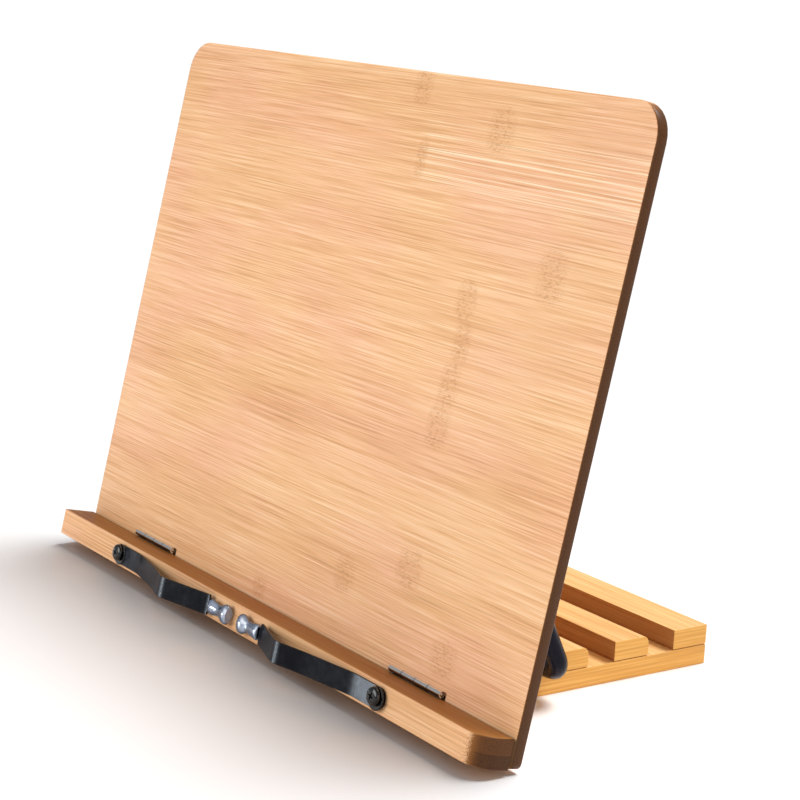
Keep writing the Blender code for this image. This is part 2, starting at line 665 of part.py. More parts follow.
def saddle_outline():
    """A strap over the rod, in the board's frame about the pivot: (back, up) points."""
    inner = ROD + SADDLE_SLACK
    outer = inner + SADDLE_STRAP
    wood = BOARD_BACK - LEG_PIVOT_BACK + GAP
    top = wood + SADDLE_STRAP
    end = outer + SADDLE_FOOT
    outside = [(wood, -end), (top, -end), (top, -outer)]
    outside += [(y, z) for z, y in arc((0, 0), outer, pi, 0, CORNER_STEPS)]
    outside += [(top, outer), (top, end), (wood, end)]
    inside = [(wood, inner)] + [(y, z) for z, y in arc((0, 0), inner, 0, pi, CORNER_STEPS)] + [(wood, -inner)]
    return [(0, y, z) for y, z in outside + inside]


def make_saddles(steel, frame, board):
    for side, word in ((-1, "left"), (1, "right")):
        middle = side * (LEG_HALF_WIDTH + LEG_ELBOW + SADDLE_CLEAR + SADDLE_WIDTH / 2)
        start = (middle - SADDLE_WIDTH / 2, LEG_PIVOT_BACK, LEG_PIVOT_UP)
        mesh = prism_mesh("saddle", saddle_outline(), start, (SADDLE_WIDTH, 0, 0))
        saddle = add_object(f"leg_saddle_{word}", mesh, steel, frame)
        face = BOARD_BACK + 2 * GAP + SADDLE_STRAP
        off = ROD + SADDLE_SLACK + SADDLE_STRAP + SADDLE_FOOT / 2
        for end, sign in (("lower", -1), ("upper", 1)):
            name = f"leg_saddle_screw_{word}_{end}"
            screw_through_leaf(name, saddle, board, (middle, face, LEG_PIVOT_UP + sign * off), "-Y",
                               steel, frame)


def build():
    clear_scene()
    finishes = {name: material(name) for name in FINISHES}
    foot = axis_empty("base_axis", (0, AXIS_Y, AXIS_Z))
    frame = axis_empty("board_axis", (0, AXIS_Y, AXIS_Z), None, -BOARD_LEAN)
    ledge_axis = axis_empty("ledge_axis", (0, LEDGE_AXIS_Y, LEDGE_AXIS_Z), frame)
    board = make_board(finishes["bamboo"], frame)
    ledge = make_ledge(finishes["bamboo"], ledge_axis)
    front_slat = make_base(finishes["base_bamboo"], foot)
    make_base_hinges(finishes["polished_steel"], frame, foot, board, front_slat)
    make_ledge_hinges(finishes["polished_steel"], frame, ledge_axis, board, ledge)
    make_clips(finishes["black_steel"], finishes["clear_silicone"], ledge_axis, ledge)
    make_leg(finishes["black_rod"], frame)
    make_saddles(finishes["black_steel"], frame, board)


build()
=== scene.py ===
"""Looks for the bamboo book stand: its materials, the finer pieces that stand for plain CAD nodes,
a pale floor, soft light and the camera.

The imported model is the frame.  Its world is in metres: X along the width, Y to the back, Z up.
The board's own frame has its origin on the base hinges' axis, with Y square to the board and Z up
along it.  The shaders work in millimetres of one of those two frames.
"""
import json

from math import cos, pi, radians, sin

import bmesh
import bpy
from mathutils import Matrix, Vector


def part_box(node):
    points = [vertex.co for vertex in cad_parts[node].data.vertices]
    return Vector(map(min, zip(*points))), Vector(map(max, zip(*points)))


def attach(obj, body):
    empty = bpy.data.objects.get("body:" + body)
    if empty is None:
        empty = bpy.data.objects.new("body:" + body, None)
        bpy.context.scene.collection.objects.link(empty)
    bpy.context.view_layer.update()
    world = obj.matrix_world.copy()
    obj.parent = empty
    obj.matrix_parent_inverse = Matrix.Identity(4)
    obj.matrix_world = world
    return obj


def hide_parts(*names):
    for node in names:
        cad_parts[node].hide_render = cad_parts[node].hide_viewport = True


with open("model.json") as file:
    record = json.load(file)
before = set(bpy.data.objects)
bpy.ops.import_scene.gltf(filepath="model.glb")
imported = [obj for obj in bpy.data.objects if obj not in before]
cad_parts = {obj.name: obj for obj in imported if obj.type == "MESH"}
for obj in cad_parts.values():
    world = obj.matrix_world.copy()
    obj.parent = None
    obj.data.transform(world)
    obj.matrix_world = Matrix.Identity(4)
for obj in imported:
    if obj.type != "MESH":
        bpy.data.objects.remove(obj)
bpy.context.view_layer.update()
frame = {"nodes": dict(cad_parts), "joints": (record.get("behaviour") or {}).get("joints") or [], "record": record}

MM = 0.001
JOINTS = {joint["name"]: joint for joint in frame["joints"]}
LEAN = radians(12)
LEDGE_TOP = -7.5  # in the board's frame, in millimetres

# Camera and lights
CAMERA_PLACE = (0.7321, -0.5336, 0.2938)
CAMERA_AZIMUTH = radians(54.84)
CAMERA_ELEVATION = radians(12.19)
CAMERA_ROLL = radians(2.84)
CAMERA_LENS = 94.75
CAMERA_SENSOR = 36.0
CAMERA_REACH = (0.05, 200)  # the nearest and farthest distance that it sees
KEY_STRENGTH = 3.35
KEY_SPREAD = radians(27)
KEY_DIRECTION = (-0.05, -0.49, -1.0)
SKY = (0.96, 0.98, 1.0, 1.0)
SKY_STRENGTH = 0.31
WHITE = (1, 1, 1)
COOL = (0.80, 0.90, 1.0)
# Soft lights: place, what it points at, width and height, watts and colour
FRONT = ((-0.45, -1.6, 0.75), (0, -0.05, 0.13), (1.4, 1.0), 19, WHITE)
SIDE = ((1.5, -0.5, 0.5), (0.05, 0.0, 0.05), (0.8, 0.8), 4, WHITE)
GLEAM = ((-0.649, -0.751, -0.086), (0.03, -0.1, 0.012), (0.12, 0.3), 11, COOL)
SWEEP = ((-0.600, -0.800, -0.086), (0.03, -0.1, 0.012), (0.26, 0.3), 3, COOL)
FLOOR_REACH = 60

# Shapes: how faces are joined and shaded, and how far edges are eased
JOIN_DISTANCE = 0.002 * MM
FLAT_ANGLE = radians(0.4)
SMOOTH_ANGLE = radians(35)
EASE_ANGLE = radians(40)
WOOD_EASE = 0.25 * MM
METAL_EASE = 0.2 * MM
LEDGE_LEAF_EASE = 0.28 * MM
STRIP_EASE = 0.15 * MM
WASHER_EASE = 0.12 * MM

# Screws: head radius, rise of the head, shank radius, shank length
CLIP_SCREW = (3.8 * MM, 2.0 * MM, 1.7 * MM, 9.0 * MM)
WOOD_SCREW = (1.9 * MM, 0.75 * MM, 0.8 * MM, 3.6 * MM)
SCREW_STEPS = 40
SCREW_POINT = 0.35  # of the shank's radius
FILLET = 0.3  # of the head's rise
RECESS_TURN = 0.3  # in radians
RECESS_MOUTH = (1.16, 0.26)  # length and width of the cross's arms, of the head's radius
RECESS_FLOOR = (0.62, 0.16)
RECESS_FLOOR_AT = 0.38  # of the head's rise
RECESS_MOUTH_AT = 1.6

# Leg
LEG_ROD = 4.0 * MM
LEG_HALF_WIDTH = 120.5 * MM
LEG_BEND = 9 * MM
LEG_ELBOW = 6 * MM
LEG_STUB = 17 * MM
LEG_BEND_STEPS = 12
LEG_END_EASE = 0.8 * MM

# Clear caps: a spool's radii in millimetres, and where they are along its length
CAP_START = 86 * MM  # from the clip's pivot
CAP_LENGTH = 15.6 * MM
CAP_OUT = 2.6 * MM  # from the ledge's face
CAP_FLATNESS = 0.55
CAP_STEPS = 32
CAP_RADII = (3.0, 3.35, 3.4, 3.1, 2.7, 2.5, 2.65, 3.3, 4.0, 4.3, 4.3, 4.05, 3.3)
CAP_SHARES = (0.0, 0.04, 0.12, 0.26, 0.40, 0.50, 0.58, 0.66, 0.74, 0.82, 0.89, 0.95, 1.0)
SLOT_START = -0.3 * MM
SLOT_END = 5.3 * MM
SLOT_THICKNESS = 1.5 * MM
SLOT_WIDTH = 5.0 * MM

# Bamboo.  Grain factors are for noise over millimetres, along X, Y and Z: small ones stretch it.
STRIP = 17.2
BASE_STRIP = 18.0
FINE_GRAIN = (0.016, 1.6, 1.6)
BROAD_GRAIN = (0.005, 0.30, 0.30)
PATCHES = (0.012, 0.03, 0.03)
FINE_SHARE = 0.91
STRIP_CONTRAST = 0.07
PALE_HEIGHT = 203.0  # of the strips with pale fibres, over the ledge's top
PALE_FIBRE = (0.98, 0.80, 0.55)
DARK_FIBRE = (0.42, 0.20, 0.09)
NODE_RING = (0.60, 0.28, 0.11)
NODE_DASH = (0.42, 0.17, 0.055)
AMBER_GAIN = (2.6, 2.6, 2.0)  # of the ends' colour, where it meets the face
UPPER_LAYER_GAIN = (1.5, 1.45, 1.4)  # of the ends' colour, over the glue line
PORE_GAIN = (0.6, 0.6, 0.6)
GLUE_GAIN = (0.4, 0.4, 0.4)
# painted shade on the ledge's back, in the gap at the board
BACK_SHADE_GAIN = (0.5, 0.5, 0.5)
# painted shade on the board's front behind the ledge
GAP_SHADE = (0.22, 0.11, 0.05)
LEDGE_SEAM = LEDGE_TOP - 6.7
BASE_BACK = 70.0  # the base's outer walls are further out than this

# Tones of bamboo: dark, middle, light, and the tint of its pink patches
BOARD_TONES = ((0.57, 0.28, 0.115), (0.79, 0.44, 0.212), (0.93, 0.62, 0.37), (1.0, 0.93, 1.07))
LEDGE_TONES = ((0.58, 0.28, 0.11), (0.82, 0.45, 0.215), (0.94, 0.62, 0.36), (1.0, 0.93, 1.08))
BASE_TONES = ((0.58, 0.28, 0.08), (0.83, 0.47, 0.17), (0.94, 0.63, 0.30), (1.0, 0.97, 0.9))
BASE_END_TONES = ((0.73, 0.35, 0.080), (0.86, 0.42, 0.085), (0.95, 0.54, 0.140))
BOARD_END = (0.120, 0.046, 0.015)
LEDGE_END = (0.100, 0.038, 0.011)
# the ledge top's own redder tone together with painted shade, for the faces that point up
LEDGE_TOP_TONE_AND_SHADE = (0.48, 0.34, 0.15)
# painted shade on the walls of the base's grooves
GROOVE_SHADE = (0.44, 0.33, 0.27)

# Where nodes of the bamboo show: across from the middle, height over the ledge's top, half width
# and half height, all in millimetres
BOARD_NODES = [
    (24, 229, 7, 9), (81, 216, 9, 10), (33, 200, 4, 9), (130, 165, 9, 11), (83, 149, 7, 9),
    (86, 132, 6, 10), (84, 115, 7, 10), (83, 98, 8, 10), (85, 41, 9, 9), (44, 28, 8, 8),
    (118, 14, 9, 8), (-15, 5, 6, 5),
]
LEDGE_NODES = [(-8, -8, 5, 4)]


# ---------------------------------------------------------------- shader helpers

def put(tree, kind, settings=None, **inputs):
    """Adds a node; inputs are given by name, as numbers, colours or other nodes' sockets."""
    node = tree.nodes.new(kind)
    for name, value in (settings or {}).items():
        setattr(node, name, value)
    for name, value in inputs.items():
        connect(tree, node.inputs[name.replace("_", " ")], value)
    return node


def connect(tree, socket, value):
    if isinstance(value, bpy.types.NodeSocket):
        tree.links.new(value, socket)
    else:
        socket.default_value = value


def calc(tree, operation, first, second=0.0, third=0.0, clamp=False):
    node = put(tree, "ShaderNodeMath", {"operation": operation, "use_clamp": clamp})
    for socket, value in zip(node.inputs, (first, second, third)):
        connect(tree, socket, value)
    return node.outputs[0]


def scaled(tree, vector, factors):
    node = put(tree, "ShaderNodeVectorMath", {"operation": "MULTIPLY"})
    connect(tree, node.inputs[0], vector)
    connect(tree, node.inputs[1], factors)
    return node.outputs[0]


def noise(tree, vector, factors, detail=2.0, roughness=0.5):
    """Noise over the vector times the factors, so a small factor stretches it that way."""
    node = put(tree, "ShaderNodeTexNoise", Vector=scaled(tree, vector, factors), Scale=1.0,
               Detail=detail, Roughness=roughness)
    return node.outputs["Fac"]


def spread(tree, value, low, high, start=0.0, end=1.0, smooth=True):
    kind = "SMOOTHSTEP" if smooth else "LINEAR"
    node = put(tree, "ShaderNodeMapRange", {"interpolation_type": kind}, Value=value,
               From_Min=low, From_Max=high, To_Min=start, To_Max=end)
    return node.outputs[0]


def blend(tree, factor, first, second, mode="MIX"):
    node = put(tree, "ShaderNodeMix", {"data_type": "RGBA", "blend_type": mode})
    connect(tree, node.inputs["Factor"], factor)
    for name, value in (("A", first), ("B", second)):
        socket = [item for item in node.inputs if item.name == name and item.type == "RGBA"][0]
        connect(tree, socket, value if isinstance(value, bpy.types.NodeSocket) else (*value, 1.0))
    return [item for item in node.outputs if item.type == "RGBA"][0]


def ramp(tree, factor, stops):
    node = put(tree, "ShaderNodeValToRGB", Fac=factor)
    elements = node.color_ramp.elements
    while len(elements) < len(stops):
        elements.new(0.5)
    for element, (place, colour) in zip(elements, stops):
        element.position = place
        element.color = (*colour, 1.0)
    return node.outputs["Color"]


def start_material(name, **settings):
    """A material with a Principled shader; settings are the shader's own constant values."""
    made = bpy.data.materials.new(name)
    made.use_nodes = True
    tree = made.node_tree
    shader = tree.nodes["Principled BSDF"]
    for socket, value in settings.items():
        shader.inputs[socket.replace("_", " ")].default_value = value
    return made, tree, shader


def bump(tree, shader, height, strength, distance):
    node = put(tree, "ShaderNodeBump", Height=height, Strength=strength, Distance=distance)
    tree.links.new(node.outputs["Normal"], shader.inputs["Normal"])


def rest_place(tree, lean):
    """The surface point at rest in millimetres: in the board's frame if lean, else in the world's."""
    place = put(tree, "ShaderNodeTexCoord").outputs["Object"]
    if lean:
        moved = put(tree, "ShaderNodeVectorMath", {"operation": "SUBTRACT"})
        tree.links.new(place, moved.inputs[0])
        moved.inputs[1].default_value = JOINTS["board_tilt"]["pos_m"]
        turned = put(tree, "ShaderNodeVectorRotate", {"rotation_type": "X_AXIS"},
                     Vector=moved.outputs[0], Angle=LEAN)
        place = turned.outputs[0]
    return scaled(tree, place, (1 / MM, 1 / MM, 1 / MM))


def face_direction(tree, lean):
    """The surface's direction at rest, split into its parts along the three axes."""
    normal = put(tree, "ShaderNodeTexCoord").outputs["Normal"]
    if lean:
        turned = put(tree, "ShaderNodeVectorRotate", {"rotation_type": "X_AXIS"}, Vector=normal,
                     Angle=LEAN)
        normal = turned.outputs[0]
    return put(tree, "ShaderNodeSeparateXYZ", Vector=normal).outputs


# ---------------------------------------------------------------- bamboo

def times(colour, gains):
    return tuple(part * gain for part, gain in zip(colour, gains))


def tinted(tree, factor, colour, tint):
    """The colour times the tint, where the factor is 1."""
    return blend(tree, factor, colour, blend(tree, 1.0, colour, tint, "MULTIPLY"))


def node_mask(tree, parts, nodes):
    """How much of a bamboo node a point lies in, from 0 to 1."""
    total = 0.0
    for across, height, half_width, half_height in nodes:
        x = calc(tree, "DIVIDE", calc(tree, "SUBTRACT", parts["X"], across), half_width)
        z = calc(tree, "DIVIDE", calc(tree, "SUBTRACT", parts["Z"], LEDGE_TOP + height), half_height)
        square = calc(tree, "POWER", calc(tree, "ABSOLUTE", z), 4.0)
        away = calc(tree, "ADD", calc(tree, "MULTIPLY", x, x), square)
        total = calc(tree, "MAXIMUM", total, spread(tree, away, 0.0, 1.3, 1.0, 0.0))
    return total


def bamboo_colour(tree, place, tones, axis, strip):
    """Fibres along X, over strips of their own tone that lie side by side along the axis."""
    dark, middle, light, pink = tones
    fine = noise(tree, place, FINE_GRAIN, 3.0, 0.7)
    broad = noise(tree, place, BROAD_GRAIN, 2.0, 0.5)
    patch = noise(tree, place, PATCHES, 2.0, 0.5)
    parts = put(tree, "ShaderNodeSeparateXYZ", Vector=place).outputs
    row = calc(tree, "FLOOR", calc(tree, "DIVIDE", parts[axis], strip))
    tone = put(tree, "ShaderNodeTexWhiteNoise", {"noise_dimensions": "1D"}, W=row).outputs["Value"]
    level = calc(tree, "ADD", calc(tree, "MULTIPLY", fine, FINE_SHARE),
                 calc(tree, "MULTIPLY", broad, 1 - FINE_SHARE))
    offset = calc(tree, "MULTIPLY", calc(tree, "SUBTRACT", tone, 0.5), STRIP_CONTRAST)
    level = calc(tree, "ADD", level, offset)
    colour = ramp(tree, level, [(0.30, dark), (0.48, middle), (0.68, light)])
    return tinted(tree, spread(tree, patch, 0.42, 0.66, 0.0, 0.75), colour, pink), fine


def add_fibres(tree, place, parts, colour):
    """Pale fibres, strongest in one band of the board, and a few dark ones."""
    off_band = calc(tree, "ABSOLUTE", calc(tree, "SUBTRACT", parts["Z"], LEDGE_TOP + PALE_HEIGHT))
    band = calc(tree, "MULTIPLY", spread(tree, off_band, 8.0, 15.0, 1.0, 0.0),
                spread(tree, parts["X"], 26.0, 38.0))
    wisp = spread(tree, noise(tree, place, (0.006, 0.1, 1.9), 2.0), 0.50, 0.64)
    strength = spread(tree, band, 0.0, 1.0, 0.12, 0.75, False)
    colour = blend(tree, calc(tree, "MULTIPLY", wisp, strength), colour, PALE_FIBRE)
    line = spread(tree, noise(tree, place, (0.005, 0.1, 2.6), 1.0), 0.66, 0.72)
    return blend(tree, calc(tree, "MULTIPLY", line, 0.16), colour, DARK_FIBRE)


def add_nodes(tree, place, parts, colour, nodes):
    """The bamboo's nodes: a faint tint with short dark dashes in it."""
    mask = node_mask(tree, parts, nodes)
    dash = spread(tree, noise(tree, place, (0.45, 0.5, 1.9), 3.0, 0.7), 0.50, 0.62)
    colour = blend(tree, calc(tree, "MULTIPLY", mask, 0.18), colour, NODE_RING)
    dashes = calc(tree, "MULTIPLY", calc(tree, "MULTIPLY", mask, dash), 0.48)
    return blend(tree, dashes, colour, NODE_DASH)


def glued_layers(tree, height, grain, end, seam):
    """A paler layer over the glue line at the seam's height."""
    upper = spread(tree, height, seam - 0.15, seam + 0.15)
    grain = tinted(tree, upper, grain, UPPER_LAYER_GAIN)
    off_seam = calc(tree, "ABSOLUTE", calc(tree, "SUBTRACT", height, seam))
    glue = spread(tree, off_seam, 0.0, 0.35, 0.6, 0.0)
    return blend(tree, glue, grain, times(end, GLUE_GAIN))


def add_ends(tree, place, parts, facing, colour, end, seam):
    """Dark end grain on what faces along X, through amber where it turns into the face."""
    ends = spread(tree, calc(tree, "ABSOLUTE", facing["X"]), 0.02, 0.98)
    pores = noise(tree, place, (1.2, 2.2, 2.2), 3.0, 0.6)
    grain = ramp(tree, pores, [(0.36, times(end, PORE_GAIN)), (0.60, end)])
    if seam is not None:
        grain = glued_layers(tree, parts["Z"], grain, end, seam)
    specks = calc(tree, "MULTIPLY", calc(tree, "SUBTRACT", pores, 0.5), 0.6)
    edge = calc(tree, "ADD", ends, specks)
    flat = put(tree, "ShaderNodeNewGeometry").outputs["True Normal"]
    flat_x = put(tree, "ShaderNodeSeparateXYZ", Vector=flat).outputs["X"]
    turned = spread(tree, calc(tree, "ABSOLUTE", flat_x), 0.01, 0.08)
    amber = calc(tree, "MULTIPLY", spread(tree, edge, 0.02, 0.40), turned)
    colour = blend(tree, amber, colour, times(end, AMBER_GAIN))
    return blend(tree, calc(tree, "MULTIPLY", spread(tree, edge, 0.22, 0.85), turned), colour, grain)


def shade_board_gap(tree, parts, facing, colour):
    """Painted shade: a brown front to the board below the ledge's top, where the ledge hides it."""
    below = spread(tree, parts["Z"], LEDGE_TOP - 1.2, LEDGE_TOP - 0.2, 0.8, 0.0)
    forward = spread(tree, facing["Y"], -0.9, -0.5, 1.0, 0.0)
    return blend(tree, calc(tree, "MULTIPLY", below, forward), colour, GAP_SHADE)


def lacquered_bamboo(name, nodes, tones, end, top_tone_and_shade=None, seam=None):
    """Bamboo in the board's frame, with fibres along X and dark ends.  The board has no seam; the
    ledge has one, the height of the glue line that shows on its ends, and a back in painted shade."""
    made, tree, shader = start_material(name, Specular_IOR_Level=0.15, Coat_Weight=0.03,
                                        Coat_Roughness=0.22)
    place = rest_place(tree, True)
    facing = face_direction(tree, True)
    parts = put(tree, "ShaderNodeSeparateXYZ", Vector=place).outputs
    colour, fine = bamboo_colour(tree, place, tones, "Z", STRIP)
    colour = add_fibres(tree, place, parts, colour)
    colour = add_nodes(tree, place, parts, colour, nodes)
    # partly the top's own tone, partly painted shade on the faces that point up
    if top_tone_and_shade:
        colour = tinted(tree, spread(tree, facing["Z"], 0.55, 0.95), colour, top_tone_and_shade)
    colour = add_ends(tree, place, parts, facing, colour, end, seam)
    if seam is None:
        colour = shade_board_gap(tree, parts, facing, colour)
    else:
        # painted shade on the ledge's back, which faces the board across the gap
        colour = blend(tree, spread(tree, facing["Y"], 0.1, 0.5), colour, times(end, BACK_SHADE_GAIN))
    tree.links.new(colour, shader.inputs["Base Color"])
    rough = spread(tree, noise(tree, place, (0.03, 0.4, 0.4), 3.0), 0.3, 0.7, 0.36, 0.50, False)
    tree.links.new(rough, shader.inputs["Roughness"])
    bump(tree, shader, fine, 0.22, 0.12 * MM)
    return made


def base_bamboo(name):
    """The base's bamboo: fibres along X on the flat faces, layers seen edge on at its ends, and
    painted shade on the groove walls."""
    made, tree, shader = start_material(name, Specular_IOR_Level=0.3, Coat_Weight=0.05,
                                        Coat_Roughness=0.25)
    place = rest_place(tree, False)
    facing = face_direction(tree, False)
    flat, fine = bamboo_colour(tree, place, BASE_TONES, "Y", BASE_STRIP)
    layered = noise(tree, place, (0.8, 0.02, 1.1), 3.0, 0.6)
    golden = ramp(tree, layered, list(zip((0.30, 0.50, 0.68), BASE_END_TONES)))
    ends = spread(tree, calc(tree, "ABSOLUTE", facing["X"]), 0.5, 0.9)
    colour = blend(tree, ends, flat, golden)
    depth = put(tree, "ShaderNodeSeparateXYZ", Vector=place).outputs["Y"]
    inner = spread(tree, calc(tree, "ABSOLUTE", depth), BASE_BACK, BASE_BACK + 0.6, 1.0, 0.0)
    upright = spread(tree, calc(tree, "ABSOLUTE", facing["Y"]), 0.5, 0.9)
    # painted shade darkens the groove walls inside the base
    colour = tinted(tree, calc(tree, "MULTIPLY", inner, upright), colour, GROOVE_SHADE)
    tree.links.new(colour, shader.inputs["Base Color"])
    rough = spread(tree, noise(tree, place, (0.05, 0.3, 0.3), 3.0), 0.3, 0.7, 0.36, 0.52, False)
    tree.links.new(rough, shader.inputs["Roughness"])
    bump(tree, shader, fine, 0.2, 0.12 * MM)
    return made


# ---------------------------------------------------------------- metal and silicone

def metal(name, dark, light, roughness, grain, metallic=0.0, wear=0.0, worn=WHITE, coat=0.0,
          specular=0.5, underside_shade=None):
    """A metal or painted metal: clouded colour, fine scratches and worn edges.  Painted shade darkens
    what faces down, as though it reflected the dark below."""
    made, tree, shader = start_material(name, Metallic=metallic, Coat_Weight=coat,
                                        Specular_IOR_Level=specular, Coat_Roughness=0.08)
    place = rest_place(tree, False)
    cloud = noise(tree, place, (0.25, 0.25, 0.25), 3.0, 0.6)
    colour = blend(tree, cloud, dark, light)
    scratch = noise(tree, place, grain, 4.0, 0.7)
    if wear:
        pointed = put(tree, "ShaderNodeNewGeometry").outputs["Pointiness"]
        rubbed = calc(tree, "MULTIPLY", spread(tree, pointed, 0.53, 0.62), wear)
        colour = blend(tree, calc(tree, "MULTIPLY", rubbed, scratch), colour, worn)
    if underside_shade:
        # painted shade: the colour is darkened where the surface faces down
        upward = spread(tree, face_direction(tree, True)["Z"], -0.45, 0.30)
        colour = blend(tree, upward, blend(tree, 1.0, colour, underside_shade, "MULTIPLY"), colour)
    tree.links.new(colour, shader.inputs["Base Color"])
    level = calc(tree, "ADD", calc(tree, "MULTIPLY", cloud, 0.6), calc(tree, "MULTIPLY", scratch, 0.4))
    rough = spread(tree, level, 0.3, 0.7, roughness * 0.75, roughness * 1.3, False)
    tree.links.new(rough, shader.inputs["Roughness"])
    bump(tree, shader, scratch, 0.08, 0.03 * MM)
    return made


def silicone(name):
    """Clear silicone, a little blue and milky, with painted shade darkening its edges."""
    made, tree, shader = start_material(name, Transmission_Weight=0.45, IOR=1.5, Coat_Weight=1.0,
                                        Coat_Roughness=0.12)
    place = rest_place(tree, False)
    cloud = noise(tree, place, (0.3, 0.3, 0.3), 3.0, 0.6)
    colour = ramp(tree, cloud, [(0.3, (0.34, 0.39, 0.50)), (0.7, (0.52, 0.58, 0.70))])
    # painted shade: edges turned away from the view are darkened, as refraction would darken them
    painted_rim_shade = put(tree, "ShaderNodeLayerWeight", Blend=0.5).outputs["Facing"]
    colour = blend(tree, spread(tree, painted_rim_shade, 0.15, 0.62), colour, (0.035, 0.045, 0.075))
    tree.links.new(colour, shader.inputs["Base Color"])
    tree.links.new(spread(tree, cloud, 0.3, 0.7, 0.02, 0.07, False), shader.inputs["Roughness"])
    bump(tree, shader, noise(tree, place, (0.7, 0.7, 0.7), 2.0), 0.15, 0.1 * MM)
    return made


def floor_material():
    made, tree, shader = start_material("pale_floor", Roughness=0.6)
    place = put(tree, "ShaderNodeTexCoord").outputs["Object"]
    colour = ramp(tree, noise(tree, place, (3.0, 3.0, 3.0), 2.0), [(0.3, (0.90, 0.89, 0.89)),
                                                                  (0.7, (0.93, 0.92, 0.92))])
    tree.links.new(colour, shader.inputs["Base Color"])
    return made


# ---------------------------------------------------------------- pieces

def refine(node, finish, ease=0.0):
    """A clean copy of a CAD node: joined faces, smooth shading and, if asked, eased edges."""
    source = frame["nodes"][node]
    bm = bmesh.new()
    bm.from_mesh(source.data)
    bmesh.ops.remove_doubles(bm, verts=bm.verts, dist=JOIN_DISTANCE)
    bmesh.ops.dissolve_limit(bm, angle_limit=FLAT_ANGLE, verts=bm.verts, edges=bm.edges)
    mesh = bpy.data.meshes.new(f"{node}_shape")
    bm.to_mesh(mesh)
    bm.free()
    return place_piece(f"{node}_piece", mesh, finish, node, ease)


def place_piece(name, mesh, finish, node, ease=0.0, segments=2):
    """Puts a mesh in the scene, on its node's body and in its node's place."""
    mesh.materials.clear()
    mesh.materials.append(finish)
    mesh.shade_smooth()
    mesh.set_sharp_from_angle(angle=SMOOTH_ANGLE)
    piece = bpy.data.objects.new(name, mesh)
    bpy.context.scene.collection.objects.link(piece)
    if ease:
        eased = piece.modifiers.new("Eased edges", "BEVEL")
        eased.width = ease
        eased.segments = segments
        eased.limit_method = "ANGLE"
        eased.angle_limit = EASE_ANGLE
        eased.harden_normals = True
    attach(piece, body_of(node))
    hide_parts(node)
    return piece


def body_of(node):
    bodies = frame["record"]["behaviour"]["bodies"]
    return next(body for body, members in bodies.items() if node in members)


def lathe(profile, steps):
    """A closed solid turned about Y from (radius, distance) pairs that start and end on the axis."""
    bm = bmesh.new()
    rings = []
    for radius, distance in profile:
        if radius == 0:
            rings.append([bm.verts.new((0, distance, 0))])
            continue
        turns = [2 * pi * step / steps for step in range(steps)]
        rings.append([bm.verts.new((radius * cos(a), distance, radius * sin(a))) for a in turns])
    for first, second in zip(rings, rings[1:]):
        for step in range(steps):
            following = (step + 1) % steps
            corners = [first[step % len(first)], first[following % len(first)]]
            corners += [second[following % len(second)], second[step % len(second)]]
            bm.faces.new(list(dict.fromkeys(corners)))
    bmesh.ops.recalc_face_normals(bm, faces=bm.faces)
    return bm


def to_mesh(bm, name):
    mesh = bpy.data.meshes.new(name)
    bm.to_mesh(mesh)
    bm.free()
    return mesh


def cut(mesh, cutters, name):
    """The mesh with each cutter taken away from it."""
    body = bpy.data.objects.new(name, mesh)
    bpy.context.scene.collection.objects.link(body)
    tools = []
    for cutter in cutters:
        tool = bpy.data.objects.new(f"{name}_cutter", cutter)
        bpy.context.scene.collection.objects.link(tool)
        hole = body.modifiers.new("Cut", "BOOLEAN")
        hole.operation = "DIFFERENCE"
        hole.solver = "EXACT"
        hole.object = tool
        tools.append(tool)
    bpy.context.view_layer.update()
    result = bpy.data.meshes.new_from_object(body.evaluated_get(bpy.context.evaluated_depsgraph_get()))
    for item in [body] + tools:
        bpy.data.objects.remove(item, do_unlink=True)
    return result


def recess_arm(head, rise, turn):
    """One arm of a cross recess, narrower at its floor."""
    arm = bmesh.new()
    bmesh.ops.create_cube(arm, size=1.0)
    for vert in arm.verts:
        deep = vert.co.y > 0
        long, wide = RECESS_FLOOR if deep else RECESS_MOUTH
        y = -rise * (RECESS_FLOOR_AT if deep else RECESS_MOUTH_AT)
        vert.co = (vert.co.x * head * long, y, vert.co.z * head * wide)
    arm.transform(Matrix.Rotation(turn + RECESS_TURN, 4, "Y"))
    return to_mesh(arm, "arm")


def recessed_screw(node, size, direction, finish):
    """A screw in its node's place: direction is the way that its shank points, at rest."""
    head, rise, shank, length = size
    fillet = rise * FILLET
    quarter = [radians(angle) for angle in range(0, 90, 15)]
    profile = [(0, length), (shank * SCREW_POINT, length), (shank, length - 1.5 * shank), (shank, 0)]
    profile += [(head - fillet * 0.4, 0), (head, -fillet * 0.4)]
    profile += [(head * cos(turn) ** 0.6, -fillet - (rise - fillet) * sin(turn)) for turn in quarter]
    profile += [(0, -rise)]
    mesh = to_mesh(lathe(profile, SCREW_STEPS), f"{node}_turned")
    mesh = cut(mesh, [recess_arm(head, rise, turn) for turn in (0.0, pi / 2)], f"{node}_cut")
    low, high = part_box(node)
    along = Vector(direction).normalized()
    turn = Vector((0, 1, 0)).rotation_difference(along).to_matrix().to_4x4()
    middle = (low + high) / 2
    seat = middle - along * ((length - rise) / 2)
    mesh.transform(Matrix.Translation(seat) @ turn)
    return place_piece(f"{node}_piece", mesh, finish, node)


def leg_path(length):
    """The rod's middle line, in the leg's own plane: (x, distance from the pivot)."""
    elbow_x = LEG_HALF_WIDTH + LEG_ELBOW
    path = [(0, length)]
    arcs = [((LEG_HALF_WIDTH - LEG_BEND, length - LEG_BEND), LEG_BEND, pi / 2, 0),
            ((elbow_x, LEG_ELBOW), LEG_ELBOW, pi, 3 * pi / 2)]
    for (x, z), radius, start, end in arcs:
        for step in range(LEG_BEND_STEPS + 1):
            turn = start + (end - start) * step / LEG_BEND_STEPS
            path.append((x + radius * cos(turn), z + radius * sin(turn)))
    path.append((LEG_HALF_WIDTH + LEG_STUB, 0))
    return [(-x, z) for x, z in path[:0:-1]] + path


